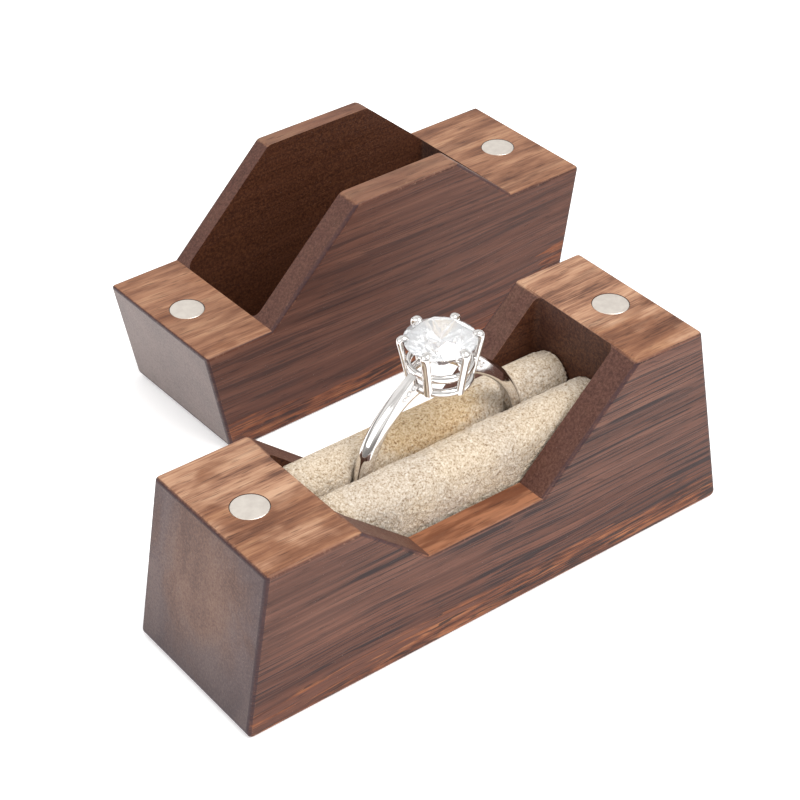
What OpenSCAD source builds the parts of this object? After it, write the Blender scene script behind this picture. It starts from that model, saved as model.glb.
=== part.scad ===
// Two-part ring box: a tall base, a lid that meets it along a stepped line,
// a pair of suede rolls that grip a ring, and the ring itself.
// Millimetres, +Z up. The origin is the centre of the base's flat underside,
// +X runs along the box and +Y runs from its front wall to its rear wall.

/* [Box] */
// Length along the underside
box_length = 61.6; // [58:0.1:70]
// Depth from the front face to the rear face
box_depth = 19; // [18.5:0.1:26]
// Height of the closed box
box_height = 37; // [36.5:0.1:42]
// Lean of the left end face from the vertical, in degrees
left_lean = 9.4; // [0:0.1:11]
// Lean of the right end face from the vertical, in degrees
right_lean = 11.2; // [0:0.1:12]

/* [Parting line] */
// Height of the left step, where the base meets the lid
left_step_height = 18.7; // [18.3:0.1:21]
// Height of the right step
right_step_height = 23.3; // [21:0.1:25]
// Height of the notch's floor between the steps
notch_height = 11.6; // [8:0.1:14]
// Place along X where the left step ends and the notch begins
left_step_end = -17.1; // [-17.5:0.1:-15]
// Place along X where the left slope reaches the notch's floor
left_slope_foot = -8.8; // [-12:0.1:-6]
// Place along X where the right slope leaves the notch's floor
right_slope_foot = 5.4; // [4:0.1:9]
// Place along X where the right step begins
right_step_end = 17.4; // [16:0.1:17.8]

/* [Walls] */
// Front and rear wall of the base
base_wall = 3.6; // [3:0.1:3.8]
// Wood under the base's pocket
base_floor = 3; // [2.5:0.1:3.1]
// Front wall of the lid
lid_front_wall = 3.2; // [2:0.1:4]
// Rear wall of the lid
lid_rear_wall = 2.4; // [2:0.1:4]
// Wood over the lid's pocket
lid_roof = 3; // [2:0.1:4]
// Radius that the cutter leaves in each pocket's upright corners
pocket_corner = 0.8; // [0.5:0.1:1.5]

/* [Magnets] */
// Diameter of each disc magnet
magnet_diameter = 4; // [3:0.5:5]
// Thickness of each disc magnet
magnet_thickness = 2; // [1:0.5:3]
// Place of the left pair along X
left_magnet_x = -23.1; // [-24:0.1:-21]
// Place of the right pair along X
right_magnet_x = 22.2; // [21:0.1:23]

/* [Cushion] */
// Top of both rolls above the underside
roll_top = 18; // [17:0.1:18.2]
// Gap between the rolls, which the ring's band stands in
slot_width = 2.8; // [2.6:0.1:3]
// Suede wrapped round each foam core
suede = 0.6; // [0.4:0.1:1]
// Card that the rolls are glued to
card = 0.6; // [0.4:0.1:0.6]

/* [Ring] */
// Inside diameter of the band
ring_bore = 18.2; // [17.6:0.1:18.4]
// Thickness of the band at its ridge
band_thickness = 1.5; // [1.2:0.1:1.5]
// Width of the band
band_width = 2.2; // [1.8:0.1:2.2]
// Diameter of the stone at its girdle
stone_diameter = 7.3; // [6.5:0.1:7.8]
// Height of the ring's centre above the underside
ring_height = 14.5; // [14.5:0.1:14.8]
// Place of the ring's centre along X
ring_x = -0.3; // [-1:0.1:1]

/* [Lid at rest] */
// The lid lies upside down behind the base: its shift along X
lid_shift_x = 16.7; // [0:0.1:20]
// Its shift along Y
lid_shift_y = 38.8; // [30:0.1:50]
// Its turn about Z, in degrees
lid_turn = 1; // [0:0.1:3]

/* [Hidden] */
$fn = 64;
over = 1;                 // how far a cutter runs past the face that it opens
half_length = box_length / 2;

// Pockets, measured in the closed box
base_pocket = [base_wall - box_depth / 2, box_depth / 2 - base_wall];
lid_pocket = [lid_front_wall - box_depth / 2, box_depth / 2 - lid_rear_wall];

// Cushion
roll_bottom = base_floor + card;
roll_width = base_pocket[1] - slot_width / 2;
roll_y = slot_width / 2 + roll_width / 2;

// Ring
band_inner = ring_bore / 2;
band_outer = band_inner + band_thickness;
girdle_z = ring_height + 13.8;
crown_height = 1.1;
pavilion_height = 3.1;
girdle_half = 0.1;
table_radius = stone_diameter * 0.28;
prong_radius = 0.42;
prong_foot = 2.95;        // distance of a prong's centre from the stone's axis at its foot
prong_top = stone_diameter / 2 + 0.2;
head_bottom = ring_height + band_inner - 0.1;
head_top = girdle_z + 0.75;
head_radius = prong_foot + prong_radius;
rail_wire = 0.4;          // radius of the wire in the head's rails
rail_radius = prong_foot - 0.1;
rail_outer = rail_radius + rail_wire;
gallery_z = head_bottom + 2;
shoulder_width = 1.5;
shoulder_foot = [7.5, ring_height + 7.3];          // where a shoulder leaves the band
shoulder_head = [rail_outer, ring_height + 10.9]; // where it meets the head
accent_turns = [20.3, 24.4, 28.0];    // degrees from the top of the band
accent_rise = [10.62, 10.45, 10.33];  // distance from the band's centre
accent_radii = [0.36, 0.31, 0.24];

function left_end(z) = -half_length + z * tan(left_lean);
function right_end(z) = half_length - z * tan(right_lean);

// The stepped line where base and lid meet, from the left end to the right
parting = [[left_end(left_step_height), left_step_height],
           [left_step_end, left_step_height],
           [left_slope_foot, notch_height],
           [right_slope_foot, notch_height],
           [right_step_end, right_step_height],
           [right_end(right_step_height), right_step_height]];

// A side view in X and Z, made as deep as the box
module slab(outline) {
    translate([0, box_depth / 2, 0])
        rotate([90, 0, 0])
            linear_extrude(box_depth) polygon(outline);
}

// A milled pocket between the two steps with rounded upright corners
module pocket(sides, bottom, top) {
    height = top - bottom;
    length = right_step_end - left_step_end;
    r = pocket_corner;
    translate([left_step_end + r, sides[0], bottom])
        cube([length - 2 * r, sides[1] - sides[0], height]);
    translate([left_step_end, sides[0] + r, bottom])
        cube([length, sides[1] - sides[0] - 2 * r, height]);
    for (x = [left_step_end + r, right_step_end - r], y = [sides[0] + r, sides[1] - r])
        translate([x, y, bottom]) cylinder(r = r, h = height);
}

module magnet(x, z) {
    translate([x, 0, z]) cylinder(d = magnet_diameter, h = magnet_thickness);
}

// Carries a piece of the lid from the closed box to where the lid lies
module lid_at_rest() {
    translate([lid_shift_x, lid_shift_y, box_height])
        rotate([0, 0, lid_turn])
            rotate([0, 180, 0])
                children();
}

module base_block() {
    color("saddlebrown")
        difference() {
            slab(concat([[-half_length, 0]], parting, [[half_length, 0]]));
            pocket(base_pocket, base_floor, right_step_height + over);
            magnet(left_magnet_x, left_step_height - magnet_thickness);
            magnet(right_magnet_x, right_step_height - magnet_thickness);
        }
}

module base_magnet_left() {
    color("gainsboro") magnet(left_magnet_x, left_step_height - magnet_thickness);
}

module base_magnet_right() {
    color("gainsboro") magnet(right_magnet_x, right_step_height - magnet_thickness);
}

module lid_block() {
    color("saddlebrown")
        lid_at_rest()
            difference() {
                slab(concat(parting, [[right_end(box_height), box_height],
                                      [left_end(box_height), box_height]]));
                pocket(lid_pocket, notch_height - over, box_height - lid_roof);
                magnet(left_magnet_x, left_step_height);
                magnet(right_magnet_x, right_step_height);
            }
}

// The lid is turned end for end, so its right magnet lies on the left
module lid_magnet_left() {
    color("gainsboro") lid_at_rest() magnet(right_magnet_x, right_step_height);
}

module lid_magnet_right() {
    color("gainsboro") lid_at_rest() magnet(left_magnet_x, left_step_height);
}

// Card on the pocket's floor, clear of its rounded corners
module cushion_card() {
    color("burlywood")
        translate([left_step_end + pocket_corner, base_pocket[0], base_floor])
            cube([right_step_end - left_step_end - 2 * pocket_corner,
                  base_pocket[1] - base_pocket[0], card]);
}

// One roll as a bar with a round top: side is -1 at the front, 1 at the rear
module roll(side, inset) {
    radius = roll_width / 2 - inset;
    centre_z = roll_top - roll_width / 2;
    start = left_step_end + pocket_corner + inset;
    length = right_step_end - left_step_end - 2 * (pocket_corner + inset);
    translate([start, side * roll_y, 0]) {
        translate([0, -radius, roll_bottom + inset])
            cube([length, 2 * radius, centre_z - roll_bottom - inset]);
        translate([0, 0, centre_z])
            rotate([0, 90, 0]) cylinder(r = radius, h = length);
    }
}

module roll_cover(side) {
    color("tan")
        difference() {
            roll(side, 0);
            roll(side, suede);
        }
}

module front_roll_core() { color("ivory") roll(-1, suede); }
module front_roll_cover() { roll_cover(-1); }
module rear_roll_core() { color("ivory") roll(1, suede); }
module rear_roll_cover() { roll_cover(1); }

// The band's section is a flat inside and a ridged outside
module band() {
    half = band_width / 2;
    edge = band_inner + band_thickness * 0.6;
    translate([ring_x, 0, ring_height])
        rotate([90, 0, 0])
            rotate_extrude($fn = 128)
                polygon([[band_inner, -half], [edge, -half], [band_outer, 0],
                         [edge, half], [band_inner, half]]);
}

// Low shoulders rise from the band to the head on both sides
module shoulders() {
    under = shoulder_head - [0, 2.3];
    translate([ring_x, shoulder_width / 2, 0])
        rotate([90, 0, 0])
            linear_extrude(shoulder_width)
                polygon([[-shoulder_foot[0], shoulder_foot[1]], [-shoulder_head[0], shoulder_head[1]],
                         shoulder_head, shoulder_foot,
                         under, [-under[0], under[1]]]);
}

// Three small round stones in the flanks of each shoulder, smaller away from the head
module accent_stones() {
    for (side = [-1, 1], i = [0:2])
        translate([ring_x, 0, ring_height])
            rotate([0, side * accent_turns[i], 0])
                translate([0, 0, accent_rise[i]])
                    rotate([90, 0, 0])
                        cylinder(r = accent_radii[i], h = shoulder_width + 0.1, center = true, $fn = 24);
}

// The gap in the top of the band that the head stands in
module head_gap() {
    translate([ring_x - rail_outer, -band_width, head_bottom])
        cube([2 * rail_outer, 2 * band_width, head_top - head_bottom]);
}

module ring_shank() {
    color("silver")
        difference() {
            union() {
                band();
                shoulders();
            }
            head_gap();
            accent_stones();
        }
}

// A round brilliant without its facets
module stone_body(grow) {
    girdle = stone_diameter / 2 + grow;
    translate([ring_x, 0, girdle_z])
        rotate_extrude()
            polygon([[0, -pavilion_height - grow], [girdle, -girdle_half], [girdle, girdle_half],
                     [table_radius + grow, crown_height + grow], [0, crown_height + grow]]);
}

module rail(z, radius) {
    translate([ring_x, 0, z])
        rotate_extrude() translate([radius, 0]) circle(r = rail_wire, $fn = 24);
}

// One claw, leaning out from the bottom rail to the girdle
module prong(angle) {
    foot_z = head_bottom + rail_wire;
    lean = atan2(prong_top - prong_foot, head_top - foot_z);
    translate([ring_x, 0, 0])
        rotate([0, 0, angle])
            translate([prong_foot, 0, foot_z])
                rotate([0, lean, 0]) {
                    cylinder(r = prong_radius, h = norm([prong_top - prong_foot, head_top - foot_z]));
                    translate([-0.15, 0, norm([prong_top - prong_foot, head_top - foot_z])])
                        sphere(r = prong_radius + 0.05, $fn = 32);
                }
}

module ring_head() {
    color("silver")
        intersection() {
            difference() {
                union() {
                    rail(head_bottom + rail_wire, rail_radius);
                    rail(gallery_z, prong_foot);
                    for (angle = [30:60:330]) prong(angle);
                }
                stone_body(0.02);
            }
            translate([ring_x, 0, head_bottom])
                cylinder(r1 = head_radius, r2 = prong_top + 1.2, h = head_top - head_bottom + over);
        }
}

module ring_stone() {
    color("azure") stone_body(0);
}

module ring_accent_stones() { color("azure") accent_stones(); }

base_block();
base_magnet_left();
base_magnet_right();
cushion_card();
front_roll_core();
front_roll_cover();
rear_roll_core();
rear_roll_cover();
ring_shank();
ring_head();
ring_stone();
ring_accent_stones();
lid_block();
lid_magnet_left();
lid_magnet_right();
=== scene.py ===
"""Walnut ring box with suede rolls and a solitaire ring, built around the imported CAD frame."""

import math

import bmesh
import bpy
from mathutils import Matrix, Vector, noise


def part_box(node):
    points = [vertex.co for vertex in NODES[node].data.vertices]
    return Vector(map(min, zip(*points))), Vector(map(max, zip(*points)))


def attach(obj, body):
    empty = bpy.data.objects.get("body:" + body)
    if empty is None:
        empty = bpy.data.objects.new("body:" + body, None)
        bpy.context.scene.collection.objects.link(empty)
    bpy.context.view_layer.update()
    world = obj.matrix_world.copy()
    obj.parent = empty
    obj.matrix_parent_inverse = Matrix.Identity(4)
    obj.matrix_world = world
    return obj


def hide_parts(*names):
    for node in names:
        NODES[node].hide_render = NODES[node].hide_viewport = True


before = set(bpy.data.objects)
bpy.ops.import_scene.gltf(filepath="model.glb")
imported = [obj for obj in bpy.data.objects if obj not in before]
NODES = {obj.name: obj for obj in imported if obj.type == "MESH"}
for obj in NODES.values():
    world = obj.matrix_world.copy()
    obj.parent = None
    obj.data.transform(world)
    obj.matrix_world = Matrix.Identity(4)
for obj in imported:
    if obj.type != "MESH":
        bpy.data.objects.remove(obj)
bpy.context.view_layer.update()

MM = 0.001

# -------- camera

VIEW_TARGET = Vector((4.15, 12.2, 12.0)) * MM  # the middle of the view
VIEW_AZIMUTH = math.radians(37.62)             # 0 looks along +Y
VIEW_ELEVATION = math.radians(35.98)
VIEW_DISTANCE = 227.2 * MM
VIEW_LENS = 96.6                               # in mm, on a sensor 36 mm wide


def make_camera():
    """Looks down at the open box from its left front corner."""
    data = bpy.data.cameras.new("camera")
    data.lens = VIEW_LENS
    data.sensor_width = 36.0
    data.clip_start = 0.01
    camera = bpy.data.objects.new("camera", data)
    bpy.context.scene.collection.objects.link(camera)
    level = VIEW_DISTANCE * math.cos(VIEW_ELEVATION)
    rise = VIEW_DISTANCE * math.sin(VIEW_ELEVATION)
    away = Vector((-level * math.sin(VIEW_AZIMUTH), -level * math.cos(VIEW_AZIMUTH), rise))
    camera.location = VIEW_TARGET + away
    camera.rotation_euler = (math.pi / 2 - VIEW_ELEVATION, 0.0, -VIEW_AZIMUTH)
    bpy.context.scene.camera = camera


# -------- node graphs

class Graph:
    """The node tree of a new material, or of a world, with short calls for the nodes used here."""

    def __init__(self, name, world=None):
        self.owner = world or bpy.data.materials.new(name)
        self.owner.use_nodes = True
        self.tree = self.owner.node_tree
        self.shader = self.tree.nodes["Background" if world else "Principled BSDF"]

    def set(self, socket, value):
        if isinstance(value, bpy.types.NodeSocket):
            self.tree.links.new(value, socket)
        else:
            socket.default_value = value

    def node(self, kind, inputs=None, **settings):
        made = self.tree.nodes.new("ShaderNode" + kind)
        for key, value in settings.items():
            setattr(made, key, value)
        for key, value in (inputs or {}).items():
            self.set(made.inputs[key], value)
        return made

    def finish(self, **inputs):
        """Sets the shader's own sockets: an underscore in a name stands for a space."""
        for key, value in inputs.items():
            self.set(self.shader.inputs[key.replace("_", " ")], value)
        return self.owner

    def math(self, operation, a, b=0.0, clamp=False):
        return self.node("Math", {0: a, 1: b}, operation=operation, use_clamp=clamp).outputs[0]

    def times(self, a, b):
        return self.math("MULTIPLY", a, b)

    def plus(self, a, b):
        return self.math("ADD", a, b)

    def minus(self, a, b):
        return self.math("SUBTRACT", a, b)

    def size(self, value):
        return self.math("ABSOLUTE", value)

    def millimetres(self):
        place = self.node("TexCoord").outputs["Object"]
        return self.node("VectorMath", {0: place, "Scale": 1 / MM}, operation="SCALE").outputs[0]

    def axes(self, vector):
        return self.node("SeparateXYZ", {0: vector}).outputs

    def stretched(self, vector, factors):
        return self.node("VectorMath", {0: vector, 1: factors}, operation="MULTIPLY").outputs[0]

    def distance(self, place, centre, factors):
        """How far place is from centre, with each axis stretched by its factor."""
        off = self.node("VectorMath", {0: place, 1: centre}, operation="SUBTRACT").outputs[0]
        return self.node("VectorMath", {0: self.stretched(off, factors)}, operation="LENGTH").outputs["Value"]

    def noise(self, vector, scale=1.0, detail=2.0, roughness=0.5, distortion=0.0):
        made = self.node("TexNoise", {"Vector": vector, "Scale": scale, "Detail": detail,
                                      "Roughness": roughness, "Distortion": distortion})
        return made.outputs["Fac"]

    def streaks(self, vector, factors, detail=2.0, roughness=0.5, distortion=0.0):
        """Noise that is stretched out along the axes with small factors."""
        return self.noise(self.stretched(vector, factors), 1.0, detail, roughness, distortion)

    def smooth(self, value, low, high, to_low=0.0, to_high=1.0):
        made = self.node("MapRange", {"Value": value, "From Min": low, "From Max": high,
                                      "To Min": to_low, "To Max": to_high},
                         interpolation_type="SMOOTHSTEP")
        return made.outputs[0]

    def ramp(self, value, stops):
        made = self.node("ValToRGB", {"Fac": value})
        elements = made.color_ramp.elements
        while len(elements) < len(stops):
            elements.new(0.5)
        for element, (place, colour) in zip(elements, stops):
            element.position = place
            element.color = (*colour, 1.0)
        return made.outputs[0]

    def mix(self, share, a, b, blend="MIX"):
        made = self.node("Mix", {0: share}, data_type="RGBA", blend_type=blend)
        for index, value in ((6, a), (7, b)):
            self.set(made.inputs[index], (*value, 1.0) if isinstance(value, tuple) else value)
        return made.outputs[2]

    def bump(self, height, distance, strength=1.0):
        return self.node("Bump", {"Height": height, "Distance": distance, "Strength": strength}).outputs[0]


# -------- walnut

# Heights in mm at which faces that look up change their look
NOTCH_TOP = (12.5, 14.0)  # the floor of the base's notch is lower than this
RIM_FOOT = (23.9, 24.9)   # the rims of the lid's tall walls are higher than this


def grain_space(g, place, wander):
    """The place in mm, pushed a little across the grain so that the fibres wander as they run along X."""
    slow_place = g.stretched(place, (0.020, 0.05, 0.05))
    slow = g.node("TexNoise", {"Vector": slow_place, "Scale": 1.0, "Detail": 2.0}).outputs["Color"]
    drift = g.node("VectorMath", {0: slow, 1: (0.5, 0.5, 0.5)}, operation="SUBTRACT").outputs[0]
    drift = g.stretched(drift, (0.0, wander, wander))
    return g.node("VectorMath", {0: place, 1: drift}, operation="ADD").outputs[0]


def growth_layers(g, bent, tilt):
    """How far a point lies across the growth layers and along them, in mm. Tilt makes the layers lean."""
    x, y, z = g.axes(bent)
    leaning = g.plus(z, g.times(y, tilt))
    return g.plus(leaning, g.times(g.times(y, y), 0.006)), x


def long_grain(g, place, bent, tilt, stops):
    """The colour of bands, streaks and fibres along X, and masks of the dark lines, pores and fibres."""
    across, along = growth_layers(g, bent, tilt)
    layers = g.node("CombineXYZ", {0: g.times(along, 0.010), 1: g.times(across, 0.42)}).outputs[0]
    bands = g.noise(layers, 1.0, 3.0, 0.6)
    streaks = g.streaks(bent, (0.055, 1.25, 1.25), 4.0, 0.62)
    fibres = g.streaks(bent, (0.10, 5.5, 5.5), 2.0, 0.6)
    tone = g.plus(g.times(bands, 0.42), g.plus(g.times(streaks, 0.43), g.times(fibres, 0.15)))
    pores = g.smooth(g.streaks(bent, (0.42, 5.2, 5.2), 1.5), 0.60, 0.70)
    return g.ramp(tone, stops), dark_lines(g, place, across, along), pores, fibres


def contour_lines(g, across, along, slow, spread, width):
    """Thin lines where noise crosses its middle value. It is slow along X, so the lines are long."""
    layers = g.node("CombineXYZ", {0: g.times(along, slow), 1: g.times(across, spread)}).outputs[0]
    off_middle = g.size(g.minus(g.noise(layers, 1.0, 1.0), 0.5))
    return g.smooth(off_middle, width * 0.35, width, 1.0, 0.0)


def dark_lines(g, place, across, along):
    """Bold and fine broken lines in groups, denser to the right."""
    right = g.times(g.axes(place)[0], 0.0024)
    groups = g.plus(g.streaks(place, (0.045, 0.13, 0.13)), right)
    breaks = g.smooth(g.streaks(place, (0.13, 2.2, 2.2), 1.0), 0.34, 0.46)
    bold = contour_lines(g, across, along, 0.011, 1.30, 0.044)
    fine = contour_lines(g, across, along, 0.013, 2.60, 0.034)
    drawn = g.times(g.math("MAXIMUM", bold, g.times(fine, 0.75)), breaks)
    return g.times(drawn, g.smooth(groups, 0.38, 0.52, 0.20, 1.0))


def low_red_band(g, place, bent, height, colour):
    """The redder figured wood along the lower edge, broken up by black dashes. It is lower at the base's left
    end, and climbs at the lid's right end."""
    ragged = g.streaks(bent, (0.06, 0.9, 1.6), 3.0, 0.65)
    x, _, z = g.axes(place)
    level = g.plus(z, g.times(g.minus(ragged, 0.5), 12.0))
    level = g.plus(level, g.smooth(x, -27.0, -12.0, 1.2, 0.0))
    level = g.minus(level, g.smooth(x, 32.0, 44.0, 0.0, 7.0))
    band = g.smooth(level, height * 0.8, height * 1.05, 1.0, 0.0)
    figure = g.streaks(bent, (0.17, 1.5, 1.5), 4.0, 0.65)
    red = g.ramp(figure, [(0.38, (0.060, 0.016, 0.007)), (0.45, (0.135, 0.040, 0.017)),
                          (0.55, (0.230, 0.074, 0.028)), (0.66, (0.330, 0.125, 0.050))])
    dashes = g.smooth(g.streaks(bent, (0.22, 2.8, 2.8), 1.5, 0.55), 0.56, 0.62)
    red = g.mix(g.times(dashes, 0.9), red, (0.020, 0.008, 0.006))
    redder = g.smooth(z, height * 0.8, height * 3.6, 0.75, 0.0)
    colour = g.mix(redder, colour, (0.90, 0.72, 0.62), "MULTIPLY")
    return g.mix(g.times(band, 0.9), colour, red)


def figured_top(g, place, bent, fibres, sapwood):
    """Faces that look up show warmer wood with flames, paler towards the back by sapwood. The floor of the
    notch is redder, and the tall rims are darker."""
    flames = g.streaks(bent, (0.10, 0.50, 0.50), 4.0, 0.62)
    tone = g.plus(g.times(flames, 0.70), g.times(fibres, 0.30))
    warm = g.ramp(tone, [(0.36, (0.080, 0.030, 0.016)), (0.45, (0.165, 0.067, 0.034)),
                         (0.54, (0.240, 0.104, 0.054)), (0.65, (0.370, 0.190, 0.100))])
    pale = g.ramp(tone, [(0.37, (0.120, 0.055, 0.034)), (0.44, (0.270, 0.130, 0.076)),
                         (0.52, (0.410, 0.225, 0.135)), (0.64, (0.520, 0.320, 0.205))])
    _, y, z = g.axes(place)
    patches = g.plus(g.streaks(bent, (0.14, 0.22, 0.22), 3.0, 0.55), g.smooth(y, -6.5, 2.5, 0.0, 0.26))
    top = g.mix(g.smooth(patches, 0.52, 0.70, 0.0, sapwood), warm, pale)
    streaky = g.smooth(g.streaks(bent, (0.13, 0.9, 0.9), 3.0, 0.6), 0.38, 0.60)
    floor = g.mix(streaky, (0.140, 0.045, 0.020), (0.350, 0.145, 0.072))
    rims = g.mix(streaky, (0.060, 0.025, 0.018), (0.150, 0.064, 0.042))
    top = g.mix(g.smooth(z, *NOTCH_TOP, 0.8, 0.0), top, floor)
    return g.mix(g.smooth(z, *RIM_FOOT, 0.0, 0.55), top, rims)


def end_grain(g, place, dry):
    """The cut ends: a brown heart between purple-grey borders, darker towards the foot and paler by dry. The
    fine speckle of their pores comes with it."""
    speckle = g.noise(place, 3.6, 3.0, 0.7)
    blotch = g.streaks(place, (0.10, 0.15, 0.11), 3.0, 0.55, 0.6)
    away = g.distance(place, (0.0, 0.5, 11.5), (0.0, 0.125, 0.105))
    away = g.plus(away, g.times(g.minus(blotch, 0.5), 2.4))
    tone = g.plus(g.times(speckle, 0.45), g.times(blotch, 0.55))
    border = g.ramp(tone, [(0.38, (0.060, 0.038, 0.041)), (0.50, (0.094, 0.061, 0.060)),
                           (0.62, (0.136, 0.092, 0.084))])
    heart = g.ramp(tone, [(0.38, (0.090, 0.046, 0.036)), (0.50, (0.146, 0.080, 0.059)),
                          (0.62, (0.208, 0.126, 0.088))])
    ends = g.mix(g.smooth(away, 0.35, 1.20, 1.0, 0.0), border, heart)
    foot = g.smooth(g.axes(place)[2], 0.0, 10.0, 0.42 * (1.0 - dry), 0.0)
    ends = g.mix(foot, ends, (0.036, 0.025, 0.027))
    return g.mix(g.smooth(speckle, 0.30, 0.62, dry * 0.7, dry), ends, (0.270, 0.222, 0.205)), speckle


def walnut(name, tilt, red_height, sapwood, figure, dry, tint, pocket):
    """Oiled walnut with its grain along X. tilt is how the growth layers lean, red_height is how high the
    redder wood reaches in mm, sapwood is how pale the top gets, figure is how strong the dark lines are,
    dry is how pale the cut ends are, tint colours the sides and slopes, and pocket is the recess whose
    walls get darker oiled wood and painted shade."""
    g = Graph(name)
    place = g.millimetres()
    bent = grain_space(g, place, 3.2)
    facing = g.axes(g.node("TexCoord").outputs["Normal"])
    endward, upward = g.size(facing[0]), facing[2]
    sides, lines, pores, fibres = long_grain(g, place, bent, tilt, [
        (0.36, (0.052, 0.020, 0.014)), (0.45, (0.092, 0.037, 0.025)),
        (0.54, (0.133, 0.056, 0.038)), (0.66, (0.190, 0.088, 0.058))])
    sides = g.mix(1.0, low_red_band(g, place, bent, red_height, sides), tint, "MULTIPLY")
    top = figured_top(g, place, bent, fibres, sapwood)
    ends, speckle = end_grain(g, place, dry)
    slopes = g.ramp(speckle, [(0.36, (0.044, 0.017, 0.013)), (0.50, (0.078, 0.031, 0.023)),
                              (0.66, (0.116, 0.053, 0.040))])
    slopes = g.mix(1.0, slopes, tint, "MULTIPLY")
    on_end = g.smooth(endward, 0.55, 0.95)
    on_slope = g.times(g.smooth(endward, 0.35, 0.6), g.smooth(upward, 0.3, 0.6))
    colour = g.mix(g.times(g.smooth(upward, 0.45, 0.90), 0.92), sides, top)
    colour = g.mix(on_end, colour, ends)
    colour = g.mix(g.times(on_slope, 0.85), colour, slopes)
    along = g.minus(1.0, g.math("MAXIMUM", on_end, on_slope))
    lines = g.times(lines, g.minus(along, g.smooth(upward, 0.45, 0.9, 0.0, 0.75)))
    colour = g.mix(g.times(lines, figure), colour, (0.019, 0.010, 0.011))
    colour = g.mix(g.times(g.times(pores, along), 0.45), colour, (0.024, 0.010, 0.008))
    colour = pocket_oil_and_shade(g, place, upward, pocket, colour, speckle)
    colour = worn_edges_and_mouth_highlight(g, place, endward, upward, colour)
    height = g.minus(g.times(fibres, 0.4), g.plus(pores, lines))
    return g.finish(Base_Color=colour, Roughness=g.smooth(fibres, 0.3, 0.7, 0.40, 0.54),
                    Specular_IOR_Level=0.22, Normal=g.bump(height, 0.02 * MM, 0.5))


def pocket_oil_and_shade(g, place, upward, pocket, colour, speckle):
    """The pocket's walls are painted a deeper red brown: partly wood that took up more oil, partly painted
    shade of the deep recess.
    """
    low, high = pocket
    parts = g.axes(place)
    inside = g.smooth(upward, 0.15, 0.3, 1.0, 0.0)
    for axis in (0, 1):
        middle = (low[axis] + high[axis]) / 2 / MM
        reach = (high[axis] - low[axis]) / 2 / MM
        away = g.size(g.minus(parts[axis], middle))
        inside = g.times(inside, g.smooth(away, reach + 0.02, reach + 0.3, 1.0, 0.0))
    # painted shade together with oiled wood: the walls inside the pocket are darkened
    oiled_and_shaded = g.ramp(speckle, [(0.35, (0.030, 0.008, 0.004)), (0.52, (0.070, 0.023, 0.010)),
                             (0.68, (0.120, 0.046, 0.020))])
    return g.mix(g.times(inside, 0.8), colour, oiled_and_shaded)


def worn_edges_and_mouth_highlight(g, place, endward, upward, colour):
    """Eased upright edges are dark with wax, and the ones on top are rubbed paler. The pocket's mouth is
    paler as well, partly wear and partly a painted highlight along its eased edge. A little dust lies on
    everything."""
    eased = g.node("Attribute", attribute_name="eased").outputs["Fac"]
    mouth = g.smooth(eased, 0.7, 0.9)
    outer = g.minus(g.smooth(eased, 0.2, 0.4), mouth)
    upright = g.times(g.smooth(upward, 0.60, 0.80, 1.0, 0.0), g.smooth(endward, 0.04, 0.30))
    rub = g.noise(place, 2.3, 4.0, 0.7)
    waxed = g.times(g.times(outer, upright), g.smooth(rub, 0.30, 0.55, 0.35, 0.75))
    colour = g.mix(waxed, colour, (0.036, 0.019, 0.024))
    on_top = g.math("SUBTRACT", outer, upright, clamp=True)
    rubbed = g.times(on_top, g.smooth(rub, 0.50, 0.70, 0.0, 0.5))
    colour = g.mix(rubbed, colour, (0.270, 0.140, 0.088))
    # painted highlight mixed with wear: a pale line along the pocket's mouth
    colour = g.mix(g.times(mouth, g.smooth(rub, 0.35, 0.62, 0.1, 0.75)), colour, (0.23, 0.12, 0.08))
    dust = g.smooth(g.noise(place, 7.5, 1.0), 0.745, 0.80)
    return g.mix(g.times(dust, 0.35), colour, (0.40, 0.31, 0.27))


# -------- other materials

def suede(name):
    """Short napped suede: pale crumbs with darker pits between them, and ochre inside the ring's band,
    which is partly nap brushed another way and partly painted shade of the ring's head.
    """
    g = Graph(name)
    place = g.millimetres()
    crumbs = g.node("TexVoronoi", {"Vector": place, "Scale": 3.6}).outputs["Distance"]
    grains = g.noise(place, 5.2, 3.0, 0.75)
    tufts = g.noise(place, 2.1, 3.0, 0.6)
    clouds = g.noise(place, 0.16)
    tone = g.plus(g.times(grains, 0.62), g.times(tufts, 0.26))
    tone = g.plus(tone, g.times(g.minus(0.95, crumbs), 0.13))
    pale = g.ramp(tone, [(0.36, (0.220, 0.148, 0.086)), (0.43, (0.450, 0.348, 0.242)),
                         (0.51, (0.590, 0.488, 0.372)), (0.66, (0.800, 0.725, 0.615))])
    ochre = g.ramp(tone, [(0.36, (0.160, 0.080, 0.032)), (0.43, (0.470, 0.305, 0.155)),
                          (0.51, (0.650, 0.480, 0.285)), (0.66, (0.820, 0.700, 0.520))])
    # painted shade with nap: the suede inside the ring's band is mixed towards ochre
    ring_shade_middle = (ring_centre()[0].x / MM, 3.2, 18.0)
    away = g.plus(g.distance(place, ring_shade_middle, (1.0, 1.5, 1.7)), g.times(tufts, 3.0))
    cool = g.mix(g.smooth(clouds, 0.42, 0.62), pale, (0.93, 0.95, 1.0), "MULTIPLY")
    colour = g.mix(g.smooth(away, 6.6, 10.4, 0.9, 0.0), cool, ochre)
    height = g.plus(grains, g.times(g.minus(tufts, crumbs), 0.5))
    return g.finish(Base_Color=colour, Roughness=0.95, Specular_IOR_Level=0.12, Sheen_Weight=0.18,
                    Sheen_Roughness=0.5, Sheen_Tint=(1.0, 0.93, 0.84, 1.0),
                    Normal=g.bump(height, 0.13 * MM))


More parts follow.
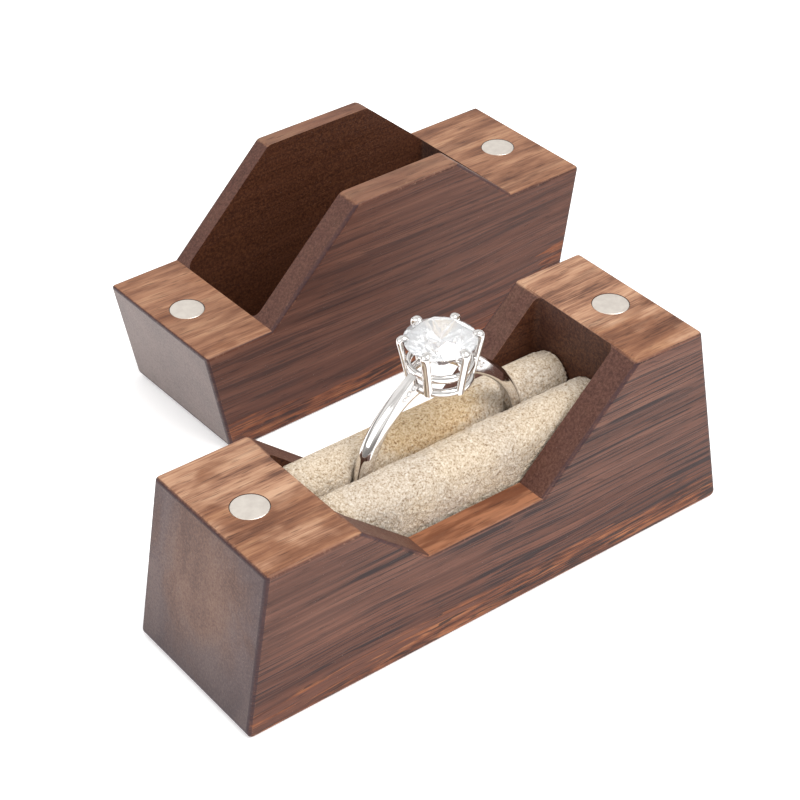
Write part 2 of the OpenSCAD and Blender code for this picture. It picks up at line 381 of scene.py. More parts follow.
def magnet_plate():
    """Satin nickel plate with a faint haze."""
    g = Graph("nickel_plate")
    place = g.millimetres()
    haze = g.noise(place, 1.1, 3.0, 0.6)
    grain = g.noise(place, 9.0)
    return g.finish(Base_Color=g.ramp(haze, [(0.35, (0.660, 0.600, 0.540)), (0.65, (0.740, 0.685, 0.620))]),
                    Metallic=0.9, Roughness=g.smooth(haze, 0.3, 0.7, 0.34, 0.46),
                    Normal=g.bump(grain, 0.006 * MM, 0.4))


def white_metal():
    """Polished white gold with hair scuffs."""
    g = Graph("polished_white_gold")
    scuffs = g.noise(g.stretched(g.millimetres(), (1.0, 7.0, 1.0)), 1.4, 4.0, 0.6)
    return g.finish(Base_Color=g.ramp(scuffs, [(0.3, (0.730, 0.700, 0.680)), (0.7, (0.820, 0.795, 0.775))]),
                    Metallic=1.0, Roughness=g.smooth(scuffs, 0.35, 0.7, 0.05, 0.12))


def brilliant():
    """A clear cut stone."""
    g = Graph("cut_stone")
    fire = g.noise(g.millimetres(), 1.6)
    tint = g.ramp(fire, [(0.3, (0.95, 0.97, 1.0)), (0.7, (1.0, 1.0, 1.0))])
    return g.finish(Base_Color=tint, Roughness=0.0, IOR=2.1, Transmission_Weight=0.72)


def plain_foam():
    """Open foam, for the cores that the suede hides."""
    g = Graph("foam")
    cells = g.node("TexVoronoi", {"Vector": g.millimetres(), "Scale": 2.4}).outputs["Distance"]
    return g.finish(Base_Color=g.ramp(cells, [(0.1, (0.42, 0.40, 0.34)), (0.6, (0.78, 0.75, 0.66))]),
                    Roughness=0.95, Normal=g.bump(cells, 0.1 * MM, 0.7))


def grey_card():
    """Fluffy grey-brown board, for the card under the rolls."""
    g = Graph("card")
    fluff = g.noise(g.stretched(g.millimetres(), (1.0, 1.0, 4.0)), 1.2, 4.0, 0.65)
    return g.finish(Base_Color=g.ramp(fluff, [(0.35, (0.30, 0.24, 0.17)), (0.65, (0.44, 0.36, 0.27))]),
                    Roughness=0.85, Normal=g.bump(fluff, 0.05 * MM, 0.5))


def paper_floor():
    """A white floor with a little light of its own."""
    g = Graph("pale_floor")
    fine = g.noise(g.millimetres(), 0.02)
    white = g.ramp(fine, [(0.3, (0.90, 0.90, 0.90)), (0.7, (0.92, 0.92, 0.92))])
    return g.finish(Base_Color=white, Roughness=0.9, Specular_IOR_Level=0.1,
                    Emission_Color=(1.0, 1.0, 1.0, 1.0), Emission_Strength=0.34)


# -------- mesh helpers

def link(name, bm, material, smooth=True):
    """Makes a piece of a bmesh, and frees the bmesh."""
    mesh = bpy.data.meshes.new(name)
    bm.to_mesh(mesh)
    bm.free()
    mesh.materials.append(material)
    if smooth:
        mesh.shade_smooth()
    piece = bpy.data.objects.new(name, mesh)
    bpy.context.scene.collection.objects.link(piece)
    return piece


def set_material(piece, material):
    piece.data.materials.clear()
    piece.data.materials.append(material)


def bake_modifiers(piece):
    """Replaces a piece's mesh with what its modifiers make of it."""
    depsgraph = bpy.context.evaluated_depsgraph_get()
    mesh = bpy.data.meshes.new_from_object(piece.evaluated_get(depsgraph))
    piece.modifiers.clear()
    old = piece.data
    piece.data = mesh
    bpy.data.meshes.remove(old)


def add_ring(bm, points):
    return [bm.verts.new(point) for point in points]


def bridge(bm, one, other):
    """Joins two rings that have as many points, and closes them all the way round."""
    for i in range(len(one)):
        j = (i + 1) % len(one)
        bm.faces.new((one[i], one[j], other[j], other[i]))


def skin(bm, rows):
    """Joins a row of rings into a tube, and closes both its ends."""
    for one, other in zip(rows, rows[1:]):
        bridge(bm, one, other)
    for row in (rows[0], rows[-1]):
        bm.faces.new(row)


def circle_turns(count):
    return [2 * math.pi * i / count for i in range(count)]


def outward_normals(bm):
    bmesh.ops.recalc_face_normals(bm, faces=bm.faces)


def share_between(value, start, end):
    """0 at start and 1 at end, and no less or more beyond them."""
    return min(1.0, max(0.0, (value - start) / (end - start)))


def lathe(bm, centre, outline, segments):
    """Turns an outline of (radius, height) points about a vertical axis through centre."""
    rows = []
    for radius, height in outline:
        if radius == 0.0:
            rows.append([bm.verts.new(centre + Vector((0, 0, height)))])
            continue
        rows.append(add_ring(bm, [centre + Vector((radius * math.cos(a), radius * math.sin(a), height))
                                  for a in circle_turns(segments)]))
    for low, high in zip(rows, rows[1:]):
        if len(low) == len(high):
            bridge(bm, low, high)
            continue
        tip, rim = (low, high) if len(low) == 1 else (high, low)
        for i in range(segments):
            bm.faces.new((tip[0], rim[i], rim[(i + 1) % segments]))
    outward_normals(bm)


# -------- wooden blocks

EDGE = 0.45 * MM           # how far the outer edges are eased
MOUTH_EDGE = 0.20 * MM     # at the pocket's mouth
NOTCH_EDGE = 0.22 * MM     # along the floor of the notch
NOTCH_REACH = 12.5 * MM    # what lies lower than this and higher than the underside is the notch's floor
STANDING_EDGE = 1.05 * MM  # at the two ends of the face that the block stands on
EASED_OUTER, EASED_MOUTH = 0.5, 1.0
STEEP = 0.02               # a face whose normal rises by less than this is a wall
ON_BORDER = 0.02 * MM      # how far past a recess's border still counts as on it


def clean_cad(node):
    """A node's mesh with its flat faces whole again."""
    bm = bmesh.new()
    bm.from_mesh(NODES[node].data)
    bmesh.ops.remove_doubles(bm, verts=bm.verts, dist=0.002 * MM)
    bmesh.ops.dissolve_limit(bm, angle_limit=math.radians(0.6), verts=bm.verts, edges=bm.edges)
    outward_normals(bm)
    return bm


def plan_box(face):
    xs, ys = zip(*((v.co.x, v.co.y) for v in face.verts))
    return min(xs), max(xs), min(ys), max(ys)


def read_block(node):
    """A block's side view, the sweep from its front face to its back, and the floors of its recesses."""
    bm = clean_cad(node)
    front = max((f for f in bm.faces if f.normal.y < -0.9), key=lambda f: f.calc_area())
    outline = [v.co.copy() for v in front.verts]
    into = -front.normal
    sweep = into * max((v.co - outline[0]).dot(into) for v in bm.verts)
    floors = [f for f in bm.faces
              if f.normal.z > 0.99 and all(e.calc_face_angle_signed(0.0) < -0.5 for e in f.edges)]
    floors.sort(key=lambda f: -f.calc_area())
    recesses = [([v.co.copy() for v in f.verts], plan_box(f)) for f in floors]
    bm.free()
    return outline, sweep, recesses


def swept_prism(outline, sweep):
    """The side view swept to the back. A seam down the middle keeps each hole on two faces' border."""
    bm = bmesh.new()
    loops = [add_ring(bm, [point + sweep * share for point in outline]) for share in (0.0, 0.5, 1.0)]
    skin(bm, loops)
    outward_normals(bm)
    weights = bm.edges.layers.float.new("bevel_weight_edge")
    along = sweep.normalized()
    for edge in bm.edges:
        if edge.calc_face_angle_signed(0.0) < math.radians(5):
            continue
        a, b = (v.co for v in edge.verts)
        crosswise = abs((b - a).normalized().dot(along)) > 0.99
        standing = max(a.z, b.z) < 0.2 * MM
        in_notch = not crosswise and not standing and max(a.z, b.z) < NOTCH_REACH
        ease = STANDING_EDGE if crosswise and standing else NOTCH_EDGE if in_notch else EDGE
        edge[weights] = ease / STANDING_EDGE
    return bm


def recess_cutter(recesses):
    """A tall prism on each recess's floor."""
    bm = bmesh.new()
    reach = Vector((0, 0, 60 * MM))
    for outline, _ in recesses:
        skin(bm, [add_ring(bm, outline), add_ring(bm, [point + reach for point in outline])])
    outward_normals(bm)
    return bm


def near_plan(point, box):
    margin = ON_BORDER
    return box[0] - margin < point.x < box[1] + margin and box[2] - margin < point.y < box[3] + margin


def ease_mouth(mesh, pocket, sockets, main_normals):
    """Eases the pocket's mouth, and marks every eased face for the material."""
    bm = bmesh.new()
    bm.from_mesh(mesh)
    bmesh.ops.remove_doubles(bm, verts=bm.verts, dist=0.001 * MM)
    mark = bm.faces.layers.float.new("eased")
    for face in bm.faces:
        recessed = any(near_plan(face.calc_center_median(), box) for box in (pocket, *sockets))
        plain = max(face.normal.dot(n) for n in main_normals) > 0.99999
        face[mark] = 0.0 if plain or (recessed and abs(face.normal.z) < STEEP) else EASED_OUTER
    mouth = []
    for edge in bm.edges:
        if not edge.is_manifold or edge.calc_face_angle_signed(0.0) < math.radians(15):
            continue
        steep = [abs(f.normal.z) < STEEP for f in edge.link_faces]
        middle = (edge.verts[0].co + edge.verts[1].co) / 2
        if sum(steep) == 1 and near_plan(middle, pocket):
            mouth.append(edge)
    made = bmesh.ops.bevel(bm, geom=mouth, offset=MOUTH_EDGE, offset_type="OFFSET", segments=2, profile=0.5,
                           affect="EDGES", clamp_overlap=True)
    for face in made["faces"]:
        face[mark] = EASED_MOUTH
    bm.to_mesh(mesh)
    bm.free()


def cut_block(name, prism, recesses, material):
    """The prism with its edges eased and its recesses milled out."""
    piece = link(name, prism, material)
    ease = piece.modifiers.new("ease", "BEVEL")
    ease.width = STANDING_EDGE
    ease.limit_method = "WEIGHT"
    ease.segments = 4
    ease.use_clamp_overlap = False
    cutter = link(name + "_cutter", recess_cutter(recesses), material)
    cut = piece.modifiers.new("cut", "BOOLEAN")
    cut.operation = "DIFFERENCE"
    cut.solver = "EXACT"
    cut.object = cutter
    bake_modifiers(piece)
    bpy.data.objects.remove(cutter)
    return piece


def shade_flat_faces(piece):
    """Smooth shading for the eased edges only."""
    piece.data.shade_smooth()
    piece.data.set_sharp_from_angle(angle=math.radians(32))
    weighted = piece.modifiers.new("flat", "WEIGHTED_NORMAL")
    weighted.mode = "FACE_AREA"
    weighted.keep_sharp = True
    bake_modifiers(piece)


def wooden_block(node, name, material):
    """The CAD block as it leaves the bench: cut out again, with its edges eased."""
    outline, sweep, recesses = read_block(node)
    prism = swept_prism(outline, sweep)
    main_normals = [f.normal.copy() for f in prism.faces]
    piece = cut_block(name, prism, recesses, material)
    pocket, *sockets = [box for _, box in recesses]
    ease_mouth(piece.data, pocket, sockets, main_normals)
    shade_flat_faces(piece)
    set_material(piece, material)
    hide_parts(node)
    return piece


def pocket_box(node):
    """The lowest and highest plan corners of a block's pocket, both at the height of its floor."""
    outline, box = read_block(node)[2][0]
    floor = outline[0].z
    return Vector((box[0], box[2], floor)), Vector((box[1], box[3], floor))


# -------- magnets

PRESS_GAP = 0.04 * MM   # a disc's radius is this much smaller than its hole's
DISC_EDGE = 0.12 * MM   # the rounding of its rim


def magnet_disc(node, body, material):
    """A plated disc with a rounded rim, a hair smaller than the hole it is pressed into."""
    low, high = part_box(node)
    top = Vector(((low.x + high.x) / 2, (low.y + high.y) / 2, high.z))
    radius = (high.x - low.x) / 2 - PRESS_GAP
    depth = high.z - low.z
    arc = [(radius - DISC_EDGE * (1 - math.sin(a)), -DISC_EDGE * (1 - math.cos(a)))
           for a in (math.radians(15 * k) for k in range(7))]
    bm = bmesh.new()
    lathe(bm, top, [(0.0, 0.0), (radius * 0.55, 0.0)] + arc + [(radius, -depth), (0.0, -depth)], 72)
    piece = link(node + "_disc", bm, material)
    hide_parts(node)
    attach(piece, body)


# -------- suede rolls

SIM_SCALE = 12.0           # the cloth is simulated this much larger than life
SWELL_STEPS = 16
CLOTH = {"quality": 6, "mass": 0.3, "tension_stiffness": 18, "compression_stiffness": 18,
         "shear_stiffness": 8, "bending_stiffness": 1.2, "use_pressure": True,
         "uniform_pressure_force": 4.0, "vertex_group_mass": "pinned"}
ROLL_VOXEL = 0.30 * MM
SWELL = 0.24 * MM          # how far the stuffing pushes the suede out
FREE_TOP = 4.2 * MM        # only this much of a roll swells: the rest is packed between the walls
PACKED_FADE = 1.5 * MM     # the height over which it turns from packed to free
ROUND_END = 0.42 * MM      # how far a roll's ends are rounded
BAND_DEPTH = 1.5 * MM      # from the inside of the ring's band to its outside
PINCH = 1.10 * MM          # the suede keeps this far from the middle of the band's section
CORE_GAP = 0.16 * MM       # and this far from its foam core
WALL_GAP = 0.08 * MM       # between the suede and the pocket's long walls
WALL_EASE = 0.6 * MM       # the last stretch before a wall, in which the suede flattens
END_GAP = 0.05 * MM        # between the suede and the pocket's ends
SLOT_GAP = 0.06 * MM       # between the suede and the middle of the ring's slot
NAP_FOOT = (9.0 * MM, 11.0 * MM)   # between these heights the nap's bumps grow in
NOTCH_FLOOR = 11.6 * MM
BULGE_OUT = 0.75 * MM      # how far a roll bulges over the notch's floor
BULGE_MIDDLE = -1.7 * MM   # along X
BULGE_REACH = (9.0 * MM, 6.0 * MM)  # from that middle, where the bulge starts and where it is full
BULGE_RISE = (0.2 * MM, 1.4 * MM)   # above the notch's floor, the same


def ring_centre():
    """The middle of the finger hole, and the band's outer radius."""
    low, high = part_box("ring_shank")
    outer = (high.x - low.x) / 2
    return Vector(((low.x + high.x) / 2, 0.0, low.z + outer)), outer


def band_distance(point, centre, middle_radius):
    """Distance from the ring's band, taken as a hoop about a Y axis."""
    off = point - centre
    return math.hypot(math.hypot(off.x, off.z) - middle_radius, off.y)


def roll_section(middle_y, radius, top, bottom):
    """A roll's outline in Y and Z: a half circle on two straight sides."""
    arc = [math.pi * k / 24 for k in range(25)]
    outline = [(middle_y + radius * math.cos(a), top - radius + radius * math.sin(a)) for a in arc]
    return outline + [(middle_y - radius, bottom), (middle_y + radius, bottom)]


def roll_shape(side, pocket, card_top, roll_top, slack):
    """A padded bar with a round top and closed ends. It fills its half of the pocket, but for the slack at
    its sides and top."""
    low, high = pocket
    half_width = (high.y - low.y) / 4 - 0.1 * MM - slack
    middle_y = side * ((high.y - low.y) / 4 + 0.02 * MM)
    start, end = low.x + 2 * END_GAP, high.x - END_GAP
    steps = 60
    bm = bmesh.new()
    rings = []
    for i in range(steps + 1):
        # The rings lie closer together towards the ends
        x = start + (end - start) * (0.5 - 0.5 * math.cos(math.pi * i / steps))
        gap = min(x - start, end - x, ROUND_END)
        shrink = ROUND_END - math.sqrt(max(0.0, ROUND_END ** 2 - (ROUND_END - gap) ** 2))
        section = roll_section(middle_y, half_width - shrink * 0.9, roll_top - slack - shrink * 0.8,
                               card_top + shrink * 0.5)
        rings.append(add_ring(bm, [(x, y, z) for y, z in section]))
    skin(bm, rings)
    outward_normals(bm)
    return bm


def push_from_band(point, side, centre, middle_radius):
    """Moves a point sideways, away from the ring's band, and says how much the band pinches it."""
    gap = band_distance(point, centre, middle_radius)
    pinch = max(0.0, 1.0 - gap / PINCH)
    if pinch > 0.0:
        point.y += side * (PINCH - gap) * 0.9
    return pinch


def inflate(piece, pinned, cap):
    """Swells a piece like stuffed suede with a short cloth simulation, and moves no point over cap."""
    group = piece.vertex_groups.new(name="pinned")
    for index, weight in pinned.items():
        group.add([index], weight, "REPLACE")
    before = [v.co.copy() for v in piece.data.vertices]
    cloth = piece.modifiers.new("swell", "CLOTH")
    for name, value in CLOTH.items():
        setattr(cloth.settings, name, value)
    cloth.settings.effector_weights.gravity = 0.0
    cloth.point_cache.frame_start = 1
    cloth.point_cache.frame_end = SWELL_STEPS
    scene = bpy.context.scene
    for step in range(1, SWELL_STEPS + 1):
        scene.frame_set(step)
    bake_modifiers(piece)
    scene.frame_set(1)
    for vertex, start in zip(piece.data.vertices, before):
        move = vertex.co - start
        if move.length > cap:
            vertex.co = start + move * (cap / move.length)


def press_round_band(piece, side, free_bottom):
    """Dents a roll at SIM_SCALE where the ring's band runs, and gives the weights that pin its points."""
    centre, outer = ring_centre()
    pinned = {}
    for vertex in piece.data.vertices:
        point = vertex.co / SIM_SCALE
        pinch = push_from_band(point, side, centre, outer - BAND_DEPTH / 2)
        packed = share_between(point.z, free_bottom + PACKED_FADE, free_bottom)
        weight = max(packed, 1.0 if pinch > 0.05 else 0.0)
        if weight:
            pinned[vertex.index] = weight
        vertex.co = point * SIM_SCALE
    return pinned


def suede_roll(side, prefix, pocket, card_top, material):
    """One padded suede roll of the ring cushion, on its side of the ring: -1 in front, 1 behind."""
    roll_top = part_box(f"{prefix}_roll_cover")[1].z
    bm = roll_shape(side, pocket, card_top, roll_top, SWELL)
    bmesh.ops.scale(bm, vec=(SIM_SCALE,) * 3, verts=bm.verts)
    piece = link(f"{prefix}_roll_suede", bm, material)
    remesh = piece.modifiers.new("even", "REMESH")
    remesh.mode = "VOXEL"
    remesh.voxel_size = ROLL_VOXEL * SIM_SCALE
    bake_modifiers(piece)
    pinned = press_round_band(piece, side, roll_top - FREE_TOP)
    inflate(piece, pinned, SWELL * 1.1 * SIM_SCALE)
    piece.data.transform(Matrix.Scale(1 / SIM_SCALE, 4))
    subdivide = piece.modifiers.new("fine", "SUBSURF")
    subdivide.levels = 1
    subdivide.render_levels = 1
    bake_modifiers(piece)
    settle_roll(piece.data, side, pocket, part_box(f"{prefix}_roll_core"))
    set_material(piece, material)
    piece.data.shade_smooth()
    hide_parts(f"{prefix}_roll_cover")
    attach(piece, "base")


def soft_limit(value, limit, softness):
    """Lets a value come up to its limit along a curve that starts softness below it."""
    start = limit - softness
    return value if value < start else start + softness * math.tanh((value - start) / softness)


def clear_of_core(point, core):
    """Moves a point of the cover out of the foam core inside it, which is a bar with a round top."""
    low, high = core
    if point.z < low.z - CORE_GAP or not low.x - CORE_GAP < point.x < high.x + CORE_GAP:
        return
    radius = (high.y - low.y) / 2
    out = Vector((0.0, point.y - (low.y + high.y) / 2, max(0.0, point.z - (high.z - radius))))
    if 0.0 < out.length < radius + CORE_GAP:
        point += out * ((radius + CORE_GAP) / out.length - 1.0)


def nap_height(place):
    """How far the suede's tufts and lumps stand out at a place in mm."""
    tufts = noise.noise(place * 1.1) * 0.06 + noise.noise(place * 2.9) * 0.11
    lumps = noise.noise(place * 0.33 + Vector((7.0, 0, 0))) * 0.12
    return (tufts + lumps) * MM


def settle_roll(mesh, side, pocket, core):
    """Keeps the swollen roll inside its half of the pocket and outside its core, and raises the nap."""
    low, high = pocket
    wall = (high.y - low.y) / 2 - WALL_GAP
    mesh.update()
    normals = [v.normal.copy() for v in mesh.vertices]
    for vertex, normal in zip(mesh.vertices, normals):
        point = vertex.co
        over_wall = share_between(point.z - NOTCH_FLOOR, *BULGE_RISE)
        in_notch = share_between(abs(point.x - BULGE_MIDDLE), *BULGE_REACH)
        limit = wall + BULGE_OUT * over_wall * in_notch
        point.y = side * max(soft_limit(side * point.y, limit, WALL_EASE), SLOT_GAP)
        point.x = min(max(point.x, low.x + END_GAP), high.x - END_GAP)
        shown = share_between(point.z, *NAP_FOOT)
        point += normal * nap_height(point / MM) * shown
        clear_of_core(point, core)


# -------- the ring

# The band's section at some angles from the top, in mm: the outer radius, half the width across,
# and how far the dome falls from the middle to the sides
BAND_KEYS = [
    (16, 11.62, 0.50, 0.05), (22, 11.28, 0.52, 0.06), (30, 10.90, 0.60, 0.12), (40, 10.66, 0.74, 0.26),
    (54, 10.60, 0.86, 0.42), (75, 10.60, 0.96, 0.55), (180, 10.60, 1.02, 0.58)]
# Each accent's turn from the top in degrees, then its rise and radius in mm
ACCENTS = [(20.3, 10.50, 0.36), (24.6, 10.36, 0.31), (28.4, 10.22, 0.25)]
HEAD_GAP = math.radians(17.0)  # the band stops this far from the top, inside the head
PRONG_ANGLES = [math.radians(a) for a in range(30, 360, 60)]
FOOT_RADIUS = 3.10 * MM        # where the claws stand
# Each rail's height over the head's foot in mm, how much wider than the claws' feet it is, and half its
# section's width and height
RAILS = [(0.46, -0.12, 0.42, 0.45), (2.15, 0.05, 0.30, 0.46)]
GIRDLE_DROP = 1.1 * MM         # from the stone's table down to its girdle


def band_section(turn):
    """The outer radius, half width and dome of the band at an angle from the top, in metres."""
    degrees = math.degrees(min(turn, 2 * math.pi - turn))
    for (a, *one), (b, *other) in zip(BAND_KEYS, BAND_KEYS[1:]):
        if degrees <= b:
            share = share_between(degrees, a, b)
            return [(u + (v - u) * share) * MM for u, v in zip(one, other)]
    return [u * MM for u in BAND_KEYS[-1][1:]]


def band_outline(inner, outer, half, dome):
    """The band's section as (radius, across) points: a soft inside, straight flanks and a domed outside."""
    edge = outer - dome
    flank = [(inner + 0.02 * MM, 0.62 * half), (inner + 0.10 * MM, 0.86 * half),
             (inner + 0.24 * MM, 0.97 * half), (inner + 0.40 * MM, half), (edge - 0.10 * MM, half),
             (edge - 0.02 * MM, half - 0.02 * MM), (edge + 0.05 * MM, half - 0.09 * MM)]
    for k in range(1, 6):
        across = (half - 0.09 * MM) * (1 - k / 6)
        rise = 1.0 - (across / half) ** 2
        flank.append((max(edge + 0.05 * MM, edge + dome * rise), across))
    other_flank = [(r, -w) for r, w in reversed(flank)]
    return [*flank, (outer, 0.0), *other_flank, (inner, -0.3 * half), (inner, 0.3 * half)]


def shank(centre, inner, material):
    """The band: softly rounded inside, domed outside, and narrower and taller where it rises to the head."""
    bm = bmesh.new()
    steps = 180
    rows = []
    for i in range(steps + 1):
        turn = HEAD_GAP + (2 * math.pi - 2 * HEAD_GAP) * i / steps
        samples = [band_section(turn + math.radians(d)) for d in (-4, -2, 0, 2, 4)]
        outer, half, dome = (sum(values) / len(samples) for values in zip(*samples))
        along = Vector((math.sin(turn), 0.0, math.cos(turn)))
        rows.append(add_ring(bm, [centre + along * r + Vector((0, w, 0))
                                  for r, w in band_outline(inner, outer, half, dome)]))
    skin(bm, rows)
    outward_normals(bm)
    piece = link("ring_band", bm, material)
    piece.data.set_sharp_from_angle(angle=math.radians(40))
    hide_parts("ring_shank")
    return piece


def torus(bm, centre, radius, half_width, half_height, segments=96, sides=12):
    """A hoop about a vertical axis, with an oval section."""
    rows = []
    for a in circle_turns(segments):
        out = Vector((math.cos(a), math.sin(a), 0))
        rows.append(add_ring(bm, [centre + out * (radius + half_width * math.cos(b)) +
                                  Vector((0, 0, half_height * math.sin(b))) for b in circle_turns(sides)]))
    for i, row in enumerate(rows):
        bridge(bm, row, rows[(i + 1) % segments])


def claw_path(foot, top, girdle_radius, girdle):
    """A claw's (radius, height, thickness) from its foot, out to the girdle, and over the stone's edge."""
    foot_radius, foot_height = foot
    shoulder = girdle_radius + 0.40 * MM
    reach = 0.49 * MM
    path = []
    for share in (i / 10 for i in range(11)):
        path.append((foot_radius + (shoulder - foot_radius) * share ** 1.1,
                     foot_height + (girdle - foot_height) * share, (0.40 + 0.02 * share) * MM))
    for share in (k / 7 for k in range(1, 8)):
        bend = math.radians(100) * share
        path.append((shoulder - reach * (1 - math.cos(bend)), girdle + (top - girdle) * math.sin(bend),
                     (0.42 - 0.10 * share ** 2) * MM))
    last_radius, last_height, bead = path[-1]
    for turn in (math.radians(22 * k) for k in range(1, 5)):
        path.append((last_radius - bead * math.sin(turn), last_height - 0.25 * bead * math.sin(turn),
                     bead * math.cos(turn)))
    return path


def claw(bm, axis, angle, path):
    """One tapering claw with an oval section, wider along the girdle than away from it."""
    out = Vector((math.cos(angle), math.sin(angle), 0))
    side = Vector((-math.sin(angle), math.cos(angle), 0))
    rows = []
    for i, (radius, height, size) in enumerate(path):
        one, other = path[max(i - 1, 0)], path[min(i + 1, len(path) - 1)]
        ahead = Vector((other[0] - one[0], 0, other[1] - one[1])).normalized()
        away = out * ahead.z + Vector((0, 0, -ahead.x))
        middle = axis + out * radius + Vector((0, 0, height))
        rows.append(add_ring(bm, [middle + size * (1.2 * math.cos(a) * side + 0.78 * math.sin(a) * away)
                                  for a in circle_turns(16)]))
    skin(bm, rows)


def head(axis, bottom, girdle, stone_radius, material):
    """Six claws standing on two rails."""
    bm = bmesh.new()
    for height, wider, half_width, half_height in RAILS:
        middle = axis + Vector((0, 0, bottom + height * MM))
        torus(bm, middle, FOOT_RADIUS + wider * MM, half_width * MM, half_height * MM)
    path = claw_path((FOOT_RADIUS, bottom + 0.12 * MM), girdle + 0.40 * MM, stone_radius, girdle)
    for angle in PRONG_ANGLES:
        claw(bm, axis, angle, path)
    outward_normals(bm)
    piece = link("ring_basket", bm, material)
    piece.data.set_sharp_from_angle(angle=math.radians(50))
    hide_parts("ring_head")
    return piece


def brilliant_cut(bm, centre, radius, frame_axes=None, squash=1.0):
    """A round brilliant: table, stars, kites and girdle facets above, mains and halves below. Its
    distances and heights are shares of its radius."""
    side, ahead, up = frame_axes or (Vector((1, 0, 0)), Vector((0, 1, 0)), Vector((0, 0, 1)))

    def circle(count, distance, height, start=0.0):
        points = []
        for a in circle_turns(count):
            flat = side * math.cos(a + start) + ahead * math.sin(a + start)
            points.append(centre + flat * distance * radius + up * (height * radius * squash))
        return add_ring(bm, points)

    table = circle(8, 0.60, 0.32, math.radians(22.5))
    stars = circle(8, 0.775, 0.20)
    upper = circle(32, 1.0, 0.03)
    lower = circle(32, 1.0, -0.03)
    halves = circle(8, 0.24, -0.70)
    culet = bm.verts.new(centre - up * (0.87 * radius * squash))
    bm.faces.new(table)
    bridge(bm, upper, lower)
    for k in range(8):
        before = table[k - 1]
        star, next_star = stars[k], stars[(k + 1) % 8]
        rim = [upper[(4 * k + j) % 32] for j in range(5)]
        bm.faces.new((before, star, table[k]))
        bm.faces.new((table[k], star, rim[2]))
        bm.faces.new((table[k], rim[2], next_star))
        bm.faces.new((star, rim[0], rim[1], rim[2]))
        bm.faces.new((next_star, rim[2], rim[3], rim[4]))
        low_rim = [lower[(4 * k + j) % 32] for j in range(5)]
        half, next_half = halves[k], halves[(k + 1) % 8]
        bm.faces.new((half, low_rim[2], low_rim[1], low_rim[0]))
        bm.faces.new((next_half, low_rim[4], low_rim[3], low_rim[2]))
        bm.faces.new((half, culet, low_rim[2]))
        bm.faces.new((next_half, low_rim[2], culet))


def main_stone(centre, radius, material):
    bm = bmesh.new()
    brilliant_cut(bm, centre, radius)
    outward_normals(bm)
    piece = link("ring_brilliant", bm, material, smooth=False)
    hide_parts("ring_stone")
    return piece


def collar(bm, spot, outward, across, up, size):
    """A thin rounded rim that holds an accent stone."""
    rows = []
    for grow, height in ((0.07, -0.10), (0.07, 0.02), (0.04, 0.05), (-0.02, 0.04), (-0.05, 0.0)):
        middle = spot + outward * (height * MM)
        radius = (size + grow) * MM
        rows.append(add_ring(bm, [middle + radius * (math.cos(a) * across + math.sin(a) * up)
                                  for a in circle_turns(24)]))
    for one, other in zip(rows, rows[1:]):
        bridge(bm, one, other)


def accent_stones(centre, metal, gem):
    """Three small stones in each flank of each shoulder, in thin collars, smaller away from the head."""
    stones, collars = bmesh.new(), bmesh.new()
    places = [(side * math.radians(degrees), flank, rise, size)
              for side in (-1, 1) for degrees, rise, size in ACCENTS for flank in (-1, 1)]
    for turn, flank, rise, size in places:
        up = Vector((math.sin(turn), 0.0, math.cos(turn)))
        outward = Vector((0, flank, 0))
        across = up.cross(outward)
        spot = centre + up * (rise * MM) + outward * band_section(abs(turn))[1]
        brilliant_cut(stones, spot + outward * 0.01 * MM, size * MM, (across, up, outward), 0.6)
        collar(collars, spot, outward, across, up, size)
    for bm in (stones, collars):
        outward_normals(bm)
    gems = link("ring_accents", stones, gem, smooth=False)
    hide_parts("ring_accent_stones")
    rims = link("ring_accent_collars", collars, metal)
    rims.data.set_sharp_from_angle(angle=math.radians(60))
    return gems, rims


def make_ring():
    metal, gem = white_metal(), brilliant()
    centre, outer = ring_centre()
    stone_low, stone_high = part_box("ring_stone")
    stone_radius = (stone_high.x - stone_low.x) / 2
    girdle = stone_high.z - GIRDLE_DROP
    axis = Vector((centre.x, 0.0, 0.0))
    band = shank(centre, outer - BAND_DEPTH, metal)
    basket = head(axis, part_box("ring_head")[0].z, girdle, stone_radius, metal)
    stone = main_stone(axis + Vector((0, 0, girdle)), stone_radius, gem)
    for piece in (band, basket, stone, *accent_stones(centre, metal, gem)):
        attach(piece, "ring")


# -------- floor and light

LIT_PLACE = Vector((0.005, 0.015, 0.01))  # near the middle of the open box

def make_floor(material):
    """A disc 6 m across, a hair under the box."""
    bm = bmesh.new()
    lathe(bm, Vector((0, 0, -0.02 * MM)), [(0.0, 0.0), (0.2, 0.0), (0.8, 0.0), (3.0, 0.0)], 64)
    floor = link("floor", bm, material)
    if floor.data.polygons[0].normal.z < 0:
        floor.data.flip_normals()


def area_light(name, place, size, power, colour):
    """A soft rectangular light, aimed at the box."""
    data = bpy.data.lights.new(name, "AREA")
    data.shape = "RECTANGLE"
    data.size, data.size_y = size
    data.energy = power
    data.color = colour
    lamp = bpy.data.objects.new(name, data)
    bpy.context.scene.collection.objects.link(lamp)
    lamp.location = place
    aim = LIT_PLACE - Vector(place)
    lamp.rotation_euler = aim.to_track_quat("-Z", "Y").to_euler()


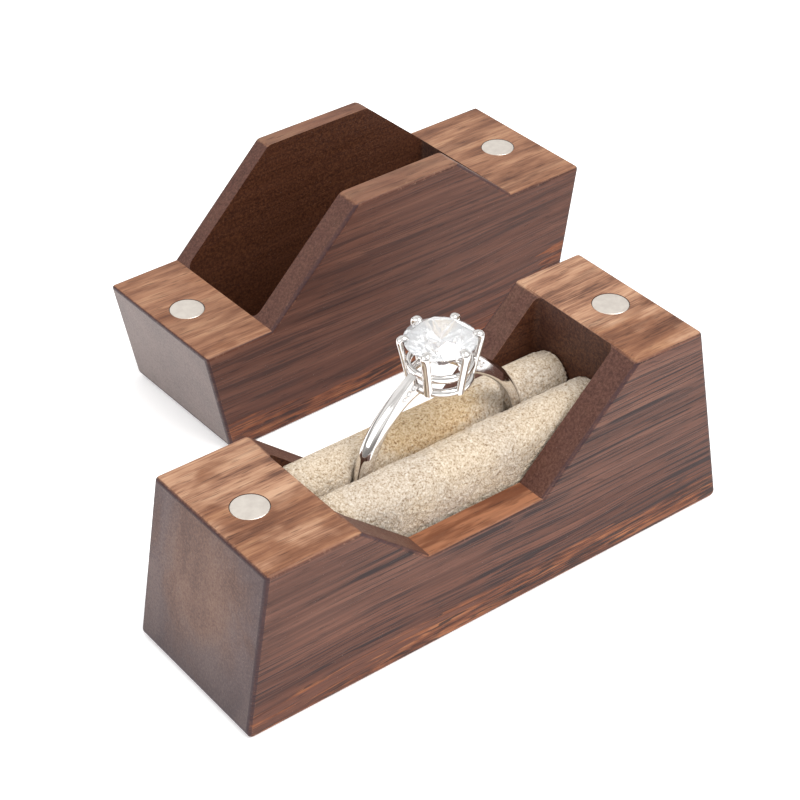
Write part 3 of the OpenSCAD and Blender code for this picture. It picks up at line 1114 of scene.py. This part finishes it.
def make_sky():
    """A white studio dome, dimmer towards the horizon and in soft patches, which the metal mirrors."""
    world = bpy.data.worlds.new("studio")
    bpy.context.scene.world = world
    g = Graph("studio", world)
    direction = g.node("TexCoord").outputs["Generated"]
    height = g.axes(direction)[2]
    dome = g.ramp(height, [(0.0, (0.32, 0.31, 0.30)), (0.15, (0.42, 0.41, 0.40)), (0.34, (1.0, 1.0, 1.0))])
    patches = g.smooth(g.noise(direction, 1.7, 1.0), 0.44, 0.56, 0.45, 0.0)
    g.finish(Color=g.mix(patches, dome, (0.42, 0.41, 0.40), "MULTIPLY"), Strength=1.08)


def make_lights():
    make_sky()
    area_light("key", (0.16, -0.30, 0.60), (0.45, 0.45), 4.2, (1.0, 0.99, 0.97))
    area_light("fill", (-0.55, 0.05, 0.30), (0.50, 0.35), 1.1, (0.98, 0.99, 1.0))
    view = bpy.context.scene.view_settings
    view.view_transform = "Standard"
    view.look = "None"


# -------- assembly

def make_magnets():
    plate = magnet_plate()
    for body in ("base", "lid"):
        for side in ("left", "right"):
            magnet_disc(f"{body}_magnet_{side}", body, plate)


def make_blocks():
    base_look = walnut("walnut_base", tilt=0.35, red_height=3.4, sapwood=0.95, figure=0.92, dry=0.0,
                       tint=(1.0, 1.0, 1.0), pocket=pocket_box("base_block"))
    base = wooden_block("base_block", "base_wood", base_look)
    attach(base, "base")
    lid_look = walnut("walnut_lid", tilt=-0.3, red_height=2.6, sapwood=0.3, figure=0.52, dry=0.55,
                      tint=(0.93, 0.86, 0.82), pocket=pocket_box("lid_block"))
    lid = wooden_block("lid_block", "lid_wood", lid_look)
    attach(lid, "lid")


def make_cushion():
    """Two suede rolls, and the foam and card that they hide."""
    cloth = suede("suede_nap")
    card_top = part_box("cushion_card")[1].z + 0.05 * MM
    for side, prefix in ((-1, "front"), (1, "rear")):
        suede_roll(side, prefix, pocket_box("base_block"), card_top, cloth)
    foam = plain_foam()
    for prefix in ("front", "rear"):
        set_material(NODES[f"{prefix}_roll_core"], foam)
    set_material(NODES["cushion_card"], grey_card())


make_camera()
make_lights()
make_floor(paper_floor())
make_magnets()
make_blocks()
make_cushion()
make_ring()
